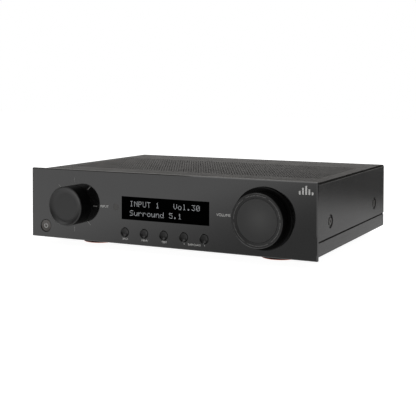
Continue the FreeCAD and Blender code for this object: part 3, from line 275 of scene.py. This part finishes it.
# ---------------------------------------------------------------- materials
class Look:
    """A node-based material around one Principled BSDF."""

    def __init__(self, name, colour, roughness, metallic=0.0, ior=1.5, specular=0.5):
        self.material = bpy.data.materials.new(name)
        self.material.use_nodes = True
        self.tree = self.material.node_tree
        self.shader = self.tree.nodes["Principled BSDF"]
        self.set("Base Color", (*colour, 1))
        self.set("Roughness", roughness)
        self.set("Metallic", metallic)
        self.set("IOR", ior)
        self.set("Specular IOR Level", specular)
        self.colour = colour
        self.roughness = roughness
        self.height = None

    def set(self, socket, value):
        """Writes a constant on one of the shader's sockets."""
        self.shader.inputs[socket].default_value = value
        return self

    def node(self, kind, **values):
        """A new node, with its sockets or settings given by name."""
        item = self.tree.nodes.new(kind)
        for key, value in values.items():
            if key in item.inputs:
                item.inputs[key].default_value = value
            else:
                setattr(item, key, value)
        return item

    def link(self, start, end):
        self.tree.links.new(start, end)

    def place(self, scale=(1, 1, 1)):
        """Object coordinates in metres, stretched by a scale."""
        where = self.node("ShaderNodeTexCoord")
        stretch = self.node("ShaderNodeMapping")
        stretch.inputs["Scale"].default_value = scale
        self.link(where.outputs["Object"], stretch.inputs["Vector"])
        return stretch.outputs["Vector"]

    def noise(self, scale, detail=2.0, stretch=(1, 1, 1)):
        """A cloudy value between 0 and 1, in object coordinates."""
        item = self.node("ShaderNodeTexNoise", Scale=scale, Detail=detail)
        self.link(self.place(stretch), item.inputs["Vector"])
        return item.outputs["Fac"]

    def vary_colour(self, scale, amount, stretch=(1, 1, 1)):
        """Drifts the colour between a darker and a lighter tone of itself."""
        ramp = self.node("ShaderNodeValToRGB")
        ramp.color_ramp.elements[0].position = 0.3
        ramp.color_ramp.elements[1].position = 0.7
        ramp.color_ramp.elements[0].color = (*[c * (1 - amount) for c in self.colour], 1)
        ramp.color_ramp.elements[1].color = (*[c * (1 + amount) for c in self.colour], 1)
        self.link(self.noise(scale, 3.0, stretch), ramp.inputs["Fac"])
        self.link(ramp.outputs["Color"], self.shader.inputs["Base Color"])
        return self

    def vary_roughness(self, scale, amount, stretch=(1, 1, 1)):
        """Drifts the roughness to either side of its value."""
        spread = self.node("ShaderNodeMapRange")
        spread.inputs["To Min"].default_value = max(0.0, self.roughness - amount)
        spread.inputs["To Max"].default_value = self.roughness + amount
        self.link(self.noise(scale, 3.0, stretch), spread.inputs["Value"])
        self.link(spread.outputs["Result"], self.shader.inputs["Roughness"])
        return self

    def bump(self, scale, depth, detail=2.0, stretch=(1, 1, 1)):
        """Adds a fine relief, its depth in millimetres, on top of any that is already there."""
        item = self.node("ShaderNodeBump", Distance=depth * MM)
        self.link(self.noise(scale, detail, stretch), item.inputs["Height"])
        if self.height is not None:
            self.link(self.height, item.inputs["Normal"])
        self.height = item.outputs["Normal"]
        self.link(self.height, self.shader.inputs["Normal"])
        return self

    def band(self, axis, low, high):
        """A mask that is 1 between two places along an object axis."""
        split = self.node("ShaderNodeSeparateXYZ")
        self.link(self.place(), split.inputs[0])
        above = self.node("ShaderNodeMath", operation="GREATER_THAN")
        above.inputs[1].default_value = low
        below = self.node("ShaderNodeMath", operation="LESS_THAN")
        below.inputs[1].default_value = high
        both = self.node("ShaderNodeMath", operation="MULTIPLY")
        for test in (above, below):
            self.link(split.outputs["XYZ".index(axis)], test.inputs[0])
        self.link(above.outputs[0], both.inputs[0])
        self.link(below.outputs[0], both.inputs[1])
        return both.outputs[0]

    def from_axis(self, middle):
        """The distance from the axis that runs through a point along Y."""
        shift = self.node("ShaderNodeVectorMath", operation="SUBTRACT")
        self.link(self.place(), shift.inputs[0])
        shift.inputs[1].default_value = middle
        flat = self.node("ShaderNodeVectorMath", operation="MULTIPLY")
        self.link(shift.outputs["Vector"], flat.inputs[0])
        flat.inputs[1].default_value = (1, 0, 1)
        length = self.node("ShaderNodeVectorMath", operation="LENGTH")
        self.link(flat.outputs["Vector"], length.inputs[0])
        return length.outputs["Value"]

    def inside(self, middle, radius):
        """A mask that is 1 within a distance of an axis along Y."""
        near = self.node("ShaderNodeMath", operation="LESS_THAN")
        self.link(self.from_axis(middle), near.inputs[0])
        near.inputs[1].default_value = radius
        return near.outputs[0]

    def painted_highlight_from(self, middle, radius, colour):
        """A painted highlight: a lighter tone round a point of a turned face, standing in for its reflection,
        which fades towards its edge.
        """
        fade = self.node("ShaderNodeMapRange", interpolation_type="SMOOTHSTEP")
        self.link(self.from_axis(middle), fade.inputs["Value"])
        fade.inputs["From Min"].default_value = 0.0
        fade.inputs["From Max"].default_value = radius
        fade.inputs["To Min"].default_value = 1.0
        fade.inputs["To Max"].default_value = 0.0
        self.blend("Base Color", fade.outputs["Result"], colour)
        return self

    def face_of(self, node, colour, shine):
        """A lighter, shinier look on the front of a knob, inside its rim."""
        low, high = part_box(node)
        rim, depth, margin = 0.2 * MM, 2.6 * MM, 1 * MM
        radius = (high.x - low.x) / 2 - rim
        front = self.band("Y", low.y - margin, low.y + depth)
        both = self.node("ShaderNodeMath", operation="MULTIPLY")
        self.link(self.inside(centre(node), radius), both.inputs[0])
        self.link(front, both.inputs[1])
        self.blend("Base Color", both.outputs[0], (*colour, 1))
        self.blend("Specular IOR Level", both.outputs[0], shine)
        return self

    def blend(self, socket, mask, value):
        """Changes a shader socket to another value where the mask is 1, on top of what it has already."""
        target = self.shader.inputs[socket]
        kind = "RGBA" if target.type == "RGBA" else "FLOAT"
        mix = self.node("ShaderNodeMix", data_type=kind)
        ends = [item for item in mix.inputs if item.type == target.type and item.name in "AB"]
        if target.is_linked:
            self.link(target.links[0].from_socket, ends[0])
        else:
            ends[0].default_value = target.default_value
        ends[1].default_value = value
        self.link(mask, mix.inputs["Factor"])
        result = [item for item in mix.outputs if item.type == target.type][0]
        self.link(result, target)
        return self


def make_looks():
    """Every material by a plain word. A Look's first numbers are its colour and its roughness."""
    looks = {}

    def add(name, look):
        """Keeps a look's material under its plain word."""
        looks[name] = look.material
        return look

    add("panel", Look("panel_black_gloss", (0.004, 0.004, 0.004), 0.07)
        ).vary_roughness(40, 0.015).bump(900, 0.0006)
    add("paint", Look("case_satin_paint", (0.018, 0.0175, 0.017), 0.2)
        ).vary_colour(25, 0.12).vary_roughness(60, 0.04).bump(2600, 0.012, 3.0).bump(700, 0.01)
    knob = Look("knob_black_with_satin_face", (0.0015, 0.0015, 0.0015), 0.34, specular=0.05)
    for node, tone, shine in (("input_knob", 0.001, 0.36), ("volume_knob", 0.014, 0.3)):
        knob.face_of(node, (tone, tone, tone), shine)
    add("knob", knob).vary_roughness(80, 0.04).bump(3000, 0.004)
    # Painted shade: the grille's hole walls and cut edges get a darker, duller black than the sheet's paint.
    add("hole", Look("hole_wall_painted_shade", (0.003, 0.003, 0.003), 0.6, specular=0.1)
        ).vary_roughness(60, 0.05)
    # The disc's base colour carries a painted highlight. It is lighter round a point a little right of and
    # above its middle, and it fades outwards.
    disc = Look("volume_disc_satin_painted_highlight", (0.017, 0.017, 0.0168), 0.36, specular=0.4)
    painted_highlight_centre = centre("volume_knob_cap") + Vector((3, 0, 2)) * MM
    disc.painted_highlight_from(painted_highlight_centre, 27 * MM, (0.034, 0.034, 0.0335, 1))
    add("knob_face", disc).vary_roughness(120, 0.03).bump(2500, 0.003)
    add("bezel", Look("bezel_black", (0.0015, 0.0015, 0.0015), 0.34, specular=0.05)
        ).vary_roughness(60, 0.03).bump(2500, 0.003)
    add("button", Look("button_black", (0.003, 0.003, 0.003), 0.3, specular=0.3)
        ).vary_roughness(150, 0.04).bump(3500, 0.004)
    add("power", Look("power_warm_metal", (0.055, 0.05, 0.046), 0.34, metallic=0.4)
        ).vary_roughness(200, 0.05).bump(3500, 0.004)
    add("window", Look("window_polished_black", (0.0002, 0.0002, 0.0002), 0.02, ior=1.3, specular=0.005)
        ).vary_roughness(30, 0.005)
    add("lens", Look("remote_lens", (0.016, 0.014, 0.012), 0.3)).vary_colour(300, 0.1)
    add("foot", Look("foot_moulded_black", (0.003, 0.003, 0.003), 0.45, specular=0.12)
        ).vary_roughness(90, 0.05).bump(1800, 0.02, 3.0)
    add("ring", Look("foot_ring_orange", (0.38, 0.085, 0.03), 0.4)
        ).vary_colour(120, 0.08).bump(2500, 0.004)
    add("rubber", Look("rubber_pad", (0.012, 0.012, 0.012), 0.85)
        ).vary_colour(200, 0.2).bump(1500, 0.03, 4.0)
    add("plastic", Look("moulded_black_plastic", (0.012, 0.012, 0.012), 0.42)
        ).vary_roughness(120, 0.05).bump(2200, 0.015, 3.0)
    add("red_plastic", Look("moulded_red_plastic", (0.38, 0.012, 0.01), 0.3)
        ).vary_colour(150, 0.08).bump(2500, 0.005)
    add("black_cap", Look("moulded_black_cap", (0.012, 0.012, 0.013), 0.3)
        ).vary_roughness(150, 0.05).bump(2500, 0.005)
    add("steel", Look("nickel_steel", (0.42, 0.41, 0.39), 0.28, metallic=1.0)
        ).vary_roughness(300, 0.07).bump(1200, 0.004)
    add("screw", Look("blackened_steel", (0.13, 0.125, 0.12), 0.34, metallic=0.9)
        ).vary_colour(300, 0.2).bump(1800, 0.006)
    add("zinc", Look("zinc_sheet", (0.42, 0.43, 0.44), 0.4, metallic=1.0)
        ).vary_colour(60, 0.12).bump(500, 0.01)
    add("gold", Look("gold_plating", (0.83, 0.6, 0.26), 0.24, metallic=1.0)
        ).vary_roughness(400, 0.06).bump(2000, 0.003)
    add("board", Look("green_board", (0.012, 0.075, 0.03), 0.35)
        ).vary_colour(180, 0.25).bump(900, 0.01)
    add("chip", Look("chip_black", (0.012, 0.012, 0.013), 0.5)
        ).vary_roughness(200, 0.08).bump(2500, 0.01)
    add("display", Look("display_glass", (0.006, 0.009, 0.011), 0.08)).vary_colour(100, 0.2)
    add("winding", Look("taped_winding", (0.045, 0.03, 0.014), 0.45)
        ).vary_colour(300, 0.3, (1, 1, 0.1)).bump(400, 0.25, 2.0, (1, 1, 0.05))
    add("sleeve", Look("capacitor_sleeve", (0.015, 0.016, 0.03), 0.25)
        ).vary_roughness(80, 0.05).bump(1500, 0.004)
    add("aluminium", Look("anodised_aluminium", (0.03, 0.03, 0.032), 0.45, metallic=0.5)
        ).vary_roughness(200, 0.08, (1, 1, 0.05)).bump(1200, 0.012, 2.0, (1, 1, 0.05))
    add("cable", Look("flat_cable", (0.55, 0.54, 0.5), 0.5)
        ).vary_colour(600, 0.15, (1, 0.02, 0.02))

    add("inlet", Look("inlet_plastic", (0.012, 0.012, 0.012), 0.42)
        ).vary_roughness(120, 0.05).bump(2200, 0.015, 3.0)

    phono = Look("phono_inserts_two_rows", (0.42, 0.012, 0.01), 0.35)
    rows_middle = centre("phono_inserts").z
    phono.blend("Base Color", phono.band("Z", rows_middle, 1.0), (0.62, 0.6, 0.56, 1))
    add("phono", phono).bump(2500, 0.004)

    add("print", Look("printed_light_grey", (0.46, 0.46, 0.45), 0.5)).vary_colour(900, 0.06)
    add("dim_print", Look("printed_dark_grey", (0.16, 0.158, 0.154), 0.5)).vary_colour(900, 0.06)
    add("scale_print", Look("printed_scale_grey", (0.11, 0.109, 0.106), 0.5)).vary_colour(900, 0.06)
    glow = Look("display_dots", (0.3, 0.31, 0.32), 0.5)
    glow.set("Emission Color", (0.82, 0.86, 0.9, 1))
    glow.set("Emission Strength", 0.28)
    add("glow", glow).vary_colour(2500, 0.1)
    return looks


NODE_LOOKS = {
    "panel": ["front_panel"],
    "bezel": ["volume_bezel"],
    "paint": ["top_cover", "vent_grille", "chassis_tray", "rear_panel"],
    "knob": ["input_knob", "volume_knob"],
    "knob_face": ["volume_knob_cap"],
    "button": ["back_button", "menu_button", "dim_button", "previous_button", "next_button",
               "mains_rocker"],
    "power": ["power_button"],
    "window": ["display_window"],
    "lens": ["remote_window"],
    "foot": ["foot_bodies"],
    "ring": ["foot_rings"],
    "rubber": ["foot_pads"],
    "plastic": ["terminal_block", "phono_housing", "switch_housing", "button_switches"],
    "inlet": ["mains_inlet"],
    "steel": ["input_shaft", "volume_shaft", "encoder_bodies", "encoder_nuts", "foot_screws",
              "digital_sockets"],
    "screw": ["cover_screws", "rear_screws", "transformer_clamp"],
    "zinc": ["front_plate"],
    "gold": ["terminal_studs", "phono_barrels", "antenna_socket", "board_pillars"],
    "board": ["control_board", "amplifier_board", "main_board"],
    "chip": ["power_transistors"],
    "display": ["display_module"],
    "winding": ["transformer"],
    "sleeve": ["filter_capacitors"],
    "aluminium": ["heat_sink"],
    "cable": ["ribbon_cable"],
    "phono": ["phono_inserts"],
}


def dress_nodes(looks):
    """Gives every CAD node its material."""
    wanted = {node: look for look, nodes in NODE_LOOKS.items() for node in nodes}
    for name, item in NODES.items():
        if name.startswith("terminal_cap_"):
            look = "red_plastic" if name.endswith("red") else "black_cap"
        else:
            look = wanted[name]
        if not item.material_slots:
            item.data.materials.append(looks[look])
        for slot in item.material_slots:
            slot.material = looks[look]


# ---------------------------------------------------------------- printing
def piece(name, mesh, body, look):
    """A Blender piece that rides a body of the part."""
    item = bpy.data.objects.new(name, mesh)
    bpy.context.scene.collection.objects.link(item)
    item.data.materials.clear()
    item.data.materials.append(look)
    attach(item, body)
    return item


def text_mesh(text, width):
    """Flat letters in the XZ plane, facing -Y, centred on the origin, scaled to a width in millimetres."""
    curve = bpy.data.curves.new("lettering", "FONT")
    curve.body = text
    holder = bpy.data.objects.new("lettering", curve)
    bpy.context.scene.collection.objects.link(holder)
    bpy.context.view_layer.update()
    mesh = bpy.data.meshes.new_from_object(holder.evaluated_get(bpy.context.evaluated_depsgraph_get()))
    bpy.data.objects.remove(holder)
    xs = [vertex.co.x for vertex in mesh.vertices]
    ys = [vertex.co.y for vertex in mesh.vertices]
    scale = width * MM / (max(xs) - min(xs))
    middle = Vector(((max(xs) + min(xs)) / 2, (max(ys) + min(ys)) / 2, 0))
    upright = Matrix.Rotation(math.pi / 2, 4, "X")
    mesh.transform(upright @ Matrix.Scale(scale, 4) @ Matrix.Translation(-middle))
    return mesh


def words(looks):
    """The generic words printed beside the controls."""
    labels = [
        ("input_word", "INPUT", -93.2, 49.6, 13.8), ("volume_word", "VOLUME", 88.6, 49.7, 20.2),
        ("back_word", "BACK", -59.1, 7.5, 8.6), ("menu_word", "MENU", -28.8, 7.5, 9.6),
        ("dim_word", "DIM", 1.3, 7.6, 6.6), ("previous_arrow", "<", 31.3, 7.7, 1.8),
        ("mode_word", "SURROUND", 46.4, 7.7, 19.0), ("next_arrow", ">", 61.4, 7.7, 1.8),
    ]
    for name, text, x, up, width in labels:
        mesh = text_mesh(text, width)
        mesh.transform(Matrix.Translation(on_panel(x, up, PRINT_HEIGHT)))
        piece(name, mesh, "root", looks["print"])


def rear_words(looks):
    """The generic words printed beside the sockets on the back."""
    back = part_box("rear_panel")[1].y
    pitch, row_up = 24, 71.5
    labels = [("sockets_word", "AUDIO IN", 58, 14.5, 16), ("network_word", "NETWORK", 152, 22.5, 16),
              ("radio_word", "RADIO", 184, 31.5, 11), ("power_word", "POWER", -184, 84.5, 13),
              ("mains_word", "AC IN", -184, 14.5, 11)]
    for number, text in enumerate(["FRONT R", "FRONT L", "CENTRE", "REAR R", "REAR L"]):
        labels.append((f"speaker_word_{number}", text, -50 - pitch * number, row_up, 13))
    for number, text in enumerate(["IN 1", "IN 2", "IN 3", "IN 4", "IN 5", "OUT"]):
        labels.append((f"video_word_{number}", text, 10 + pitch * number, row_up, 7))
    about_face = Matrix.Rotation(math.pi, 4, "Z")
    for name, text, x, up, width in labels:
        mesh = text_mesh(text, width)
        place = Vector((x * MM, back + PRINT_HEIGHT * MM, FLOOR_GAP + up * MM))
        mesh.transform(Matrix.Translation(place) @ about_face)
        piece(name, mesh, "root", looks["print"])


def strip(bm, start, end, width):
    """A flat strip in the XZ plane between two points, facing -Y."""
    along = (end - start).normalized()
    side = Vector((-along.z, 0, along.x)) * width / 2
    corners = [bm.verts.new(point) for point in (start - side, end - side, end + side, start + side)]
    bm.faces.new(corners)


def face_forward(bm):
    """Turns every face of a flat mark towards the front."""
    bm.normal_update()
    for face in bm.faces:
        if face.normal.y > 0:
            face.normal_flip()


def flat_mesh(bm, name):
    """The finished mesh of a flat mark."""
    face_forward(bm)
    mesh = bpy.data.meshes.new(name)
    bm.to_mesh(mesh)
    bm.free()
    return mesh


def input_ticks(looks):
    """Eight printed ticks round the input knob."""
    bm = bmesh.new()
    ticks, inner, outer, width = 8, 31.0 * MM, 37.8 * MM, 0.85 * MM
    middle = centre("input_knob")
    middle.y = FACE - PRINT_HEIGHT * MM
    for number in range(ticks):
        angle = number * 2 * math.pi / ticks
        out = Vector((math.cos(angle), 0, math.sin(angle)))
        strip(bm, middle + out * inner, middle + out * outer, width)
    piece("input_ticks", flat_mesh(bm, "input_ticks"), "root", looks["dim_print"])


def emblem(looks):
    """A generic mark in the panel's corner: five level bars."""
    bm = bmesh.new()
    left, low = 192.0, 82.2
    bar, pitch = 2.2, 4.2
    for number, height in enumerate((4.5, 8.5, 11.0, 7.0, 3.5)):
        x = left + bar / 2 + number * pitch
        strip(bm, on_panel(x, low, PRINT_HEIGHT), on_panel(x, low + height, PRINT_HEIGHT), bar * MM)
    piece("level_bars_mark", flat_mesh(bm, "level_bars_mark"), "root", looks["print"])


GLYPHS = {
    "I": ["###", ".#.", ".#.", ".#.", ".#.", ".#.", "###"],
    "N": ["#...#", "##..#", "#.#.#", "#..##", "#...#", "#...#", "#...#"],
    "P": ["####.", "#...#", "#...#", "####.", "#....", "#....", "#...."],
    "U": ["#...#", "#...#", "#...#", "#...#", "#...#", "#...#", ".###."],
    "T": ["#####", "..#..", "..#..", "..#..", "..#..", "..#..", "..#.."],
    "V": ["#...#", "#...#", "#...#", "#...#", "#...#", ".#.#.", "..#.."],
    "S": [".####", "#....", "#....", ".###.", "....#", "....#", "####."],
    "o": [".....", ".....", ".###.", "#...#", "#...#", "#...#", ".###."],
    "l": [".##..", "..#..", "..#..", "..#..", "..#..", "..#..", ".###."],
    "u": [".....", ".....", "#...#", "#...#", "#...#", "#..##", ".##.#"],
    "r": [".....", ".....", "#.##.", "##..#", "#....", "#....", "#...."],
    "n": [".....", ".....", "#.##.", "##..#", "#...#", "#...#", "#...#"],
    "d": ["....#", "....#", ".##.#", "#..##", "#...#", "#...#", ".####"],
    "1": ["..#..", ".##..", "..#..", "..#..", "..#..", "..#..", ".###."],
    "3": ["#####", "...#.", "..#..", "...#.", "....#", "#...#", ".###."],
    "5": ["#####", "#....", "####.", "....#", "....#", "#...#", ".###."],
    "0": [".###.", "#...#", "#..##", "#.#.#", "##..#", "#...#", ".###."],
    ".": [".....", ".....", ".....", ".....", ".....", ".##..", ".##.."],
    " ": ["....."] * 7,
}


def display_text(looks):
    """Two lines of dot-matrix characters on the window."""
    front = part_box("display_window")[0].y - 0.03 * MM
    cell, dot, gap = 6.75, 1.08, 0.42
    first_letter, middle_row = -49.7, 3
    half = (dot - gap) / 2
    bm = bmesh.new()
    for line, up in (("INPUT 1   Vol.30", 55.9), ("Surround 5.1", 43.4)):
        for column, letter in enumerate(line):
            rows = GLYPHS[letter]
            left = first_letter + column * cell - len(rows[0]) * dot / 2
            for row, pattern in enumerate(rows):
                for number, mark in enumerate(pattern):
                    if mark != "#":
                        continue
                    x = left + (number + 0.5) * dot
                    z = up + (middle_row - row) * dot
                    start = on_panel(x - half, z)
                    end = on_panel(x + half, z)
                    start.y = end.y = front
                    strip(bm, start, end, 2 * half * MM)
    piece("display_text", flat_mesh(bm, "display_text"), "root", looks["glow"])


def arc_strip(bm, middle, radius, width, start, end, steps):
    """A flat ring sector in the XZ plane, facing -Y."""
    rings = []
    for number in range(steps + 1):
        angle = start + (end - start) * number / steps
        out = Vector((math.cos(angle), 0, math.sin(angle)))
        rings.append([bm.verts.new(middle + out * (radius + side * width / 2)) for side in (-1, 1)])
    for one, two in zip(rings, rings[1:]):
        bm.faces.new((one[0], one[1], two[1], two[0]))


def power_symbol(looks):
    """The usual power symbol on the power button's face: a broken ring and a stroke."""
    middle = centre("power_button")
    middle.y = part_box("power_button")[0].y + 0.1 * MM
    radius, line, steps = 2.9 * MM, 0.9 * MM, 40
    stroke_low, stroke_high = Vector((0, 0, 0.6 * MM)), Vector((0, 0, 3.6 * MM))
    bm = bmesh.new()
    arc_strip(bm, middle, radius, line, math.radians(125), math.radians(415), steps)
    strip(bm, middle + stroke_low, middle + stroke_high, line)
    piece("power_symbol", flat_mesh(bm, "power_symbol"), "power_button", looks["print"])


def volume_scale(looks):
    """Fine printed dashes of uneven length round the volume knob's face, in groups with gaps between."""
    middle = centre("volume_knob")
    middle.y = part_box("volume_knob")[0].y + 0.2 * MM
    radius, width, steps = 31.6 * MM, 1.1 * MM, 3
    sectors, group, gap = 96, 16, 2
    shortest, spread, pattern = 0.45, 0.35, 7
    sweep = 2 * math.pi / sectors
    bm = bmesh.new()
    for number in range(sectors):
        if number % group < gap:
            continue
        share = shortest + spread * (number * 5 % pattern) / pattern
        start = number * sweep
        arc_strip(bm, middle, radius, width, start, start + share * sweep, steps)
    piece("volume_scale", flat_mesh(bm, "volume_scale"), "volume_dial", looks["scale_print"])


def fine_grille(looks):
    """The cover's perforated field with its true fine holes in staggered rows, as thick as the sheet."""
    low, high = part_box("vent_grille")
    columns, rows, sides, radius = 98, 44, 8, 1.15 * MM
    step_x = (high.x - low.x) / columns
    step_y = (high.y - low.y) / rows
    points = []
    faces = []
    circle = [2 * math.pi * number / sides for number in range(sides)]

    def cell(x, y):
        """One hole with the sheet round it, as rings of points on the top, then the same on the underside."""
        start = len(points)
        hole = [(x + radius * math.cos(angle), y + radius * math.sin(angle)) for angle in circle]
        half_x, half_y = step_x / 2, step_y / 2
        edge = [(x + half_x, y), (x + half_x, y + half_y), (x, y + half_y), (x - half_x, y + half_y),
                (x - half_x, y), (x - half_x, y - half_y), (x, y - half_y), (x + half_x, y - half_y)]
        for level in (high.z, low.z):
            points.extend((*point, level) for point in hole + edge)
        under = 2 * sides
        for number in range(sides):
            following = (number + 1) % sides
            one, two = start + number, start + following
            out_one, out_two = one + sides, two + sides
            faces.append((one, out_one, out_two, two))
            faces.append((two + under, out_two + under, out_one + under, one + under))
            faces.append((one, two, two + under, one + under))

    def plain(left, right, bottom, top):
        """A piece of sheet without a hole."""
        start = len(points)
        outline = [(left, bottom), (right, bottom), (right, top), (left, top)]
        for level in (high.z, low.z):
            points.extend((*point, level) for point in outline)
        faces.append((start, start + 1, start + 2, start + 3))
        faces.append((start + 7, start + 6, start + 5, start + 4))

    for row in range(rows):
        shifted = row % 2
        y = low.y + (row + 0.5) * step_y
        for column in range(columns - shifted):
            cell(low.x + (column + 0.5 + shifted / 2) * step_x, y)
        if shifted:
            plain(low.x, low.x + step_x / 2, y - step_y / 2, y + step_y / 2)
            plain(high.x - step_x / 2, high.x, y - step_y / 2, y + step_y / 2)
    start = len(points)
    corners = [(low.x, low.y), (high.x, low.y), (high.x, high.y), (low.x, high.y)]
    points.extend((*corner, level) for level in (high.z, low.z) for corner in corners)
    for number in range(4):
        following = (number + 1) % 4
        faces.append((start + following, start + number, start + 4 + number, start + 4 + following))
    mesh = bpy.data.meshes.new("fine_grille")
    mesh.from_pydata(points, [], faces)
    item = piece("fine_grille", mesh, "root", looks["paint"])
    # The hole walls and edges take the darker look, which paints shade inside the holes.
    item.data.materials.append(looks["hole"])
    for face in mesh.polygons:
        face.material_index = int(abs(face.normal.z) < 0.5)
    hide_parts("vent_grille")


camera()
studio()
LOOKS = make_looks()
dress_nodes(LOOKS)
words(LOOKS)
rear_words(LOOKS)
input_ticks(LOOKS)
emblem(LOOKS)
display_text(LOOKS)
power_symbol(LOOKS)
volume_scale(LOOKS)
fine_grille(LOOKS)
